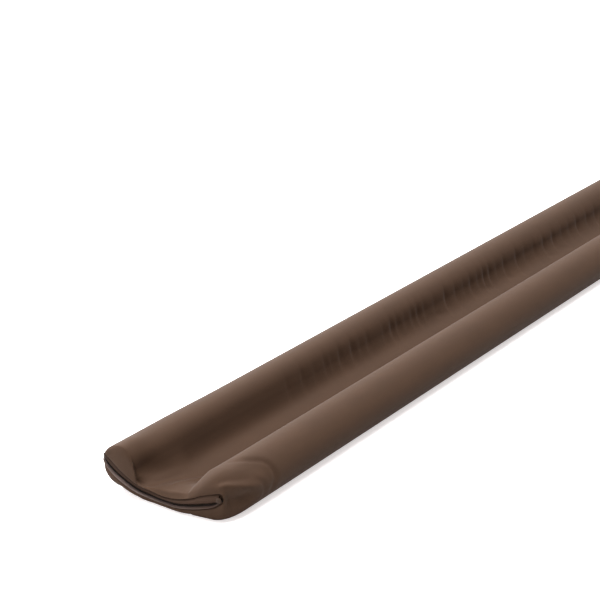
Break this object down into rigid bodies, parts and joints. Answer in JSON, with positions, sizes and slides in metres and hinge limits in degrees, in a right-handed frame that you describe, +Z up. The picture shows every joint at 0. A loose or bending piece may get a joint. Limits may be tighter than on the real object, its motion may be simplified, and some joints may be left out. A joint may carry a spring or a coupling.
{
  "type": "draught excluder",
  "caption": "Draught excluder that slides under a door: a cloth sleeve with a padded roll along each side of a flat web, zipped across one end.",
  "frame": {"origin": "on the floor, under the middle of the box around the part", "axes": "+X along the rolls from the zipped end to the sewn end, +Y from the slack-ended roll to the other roll, +Z up"},
  "size_m": [0.9, 0.1257, 0.0416],
  "materials": {
    "cover_cloth": "smooth brushed microfibre, matt",
    "zip_tape": "fine woven tape",
    "zip_chain": "nylon coil",
    "zip_slider": "satin paint"
  },
  "bodies": {
    "root": {"cover": "cover_cloth", "zip_tape_upper": "zip_tape", "zip_tape_lower": "zip_tape", "zip_chain": "zip_chain", "zip_slider": "zip_slider"}
  },
  "joints": []
}
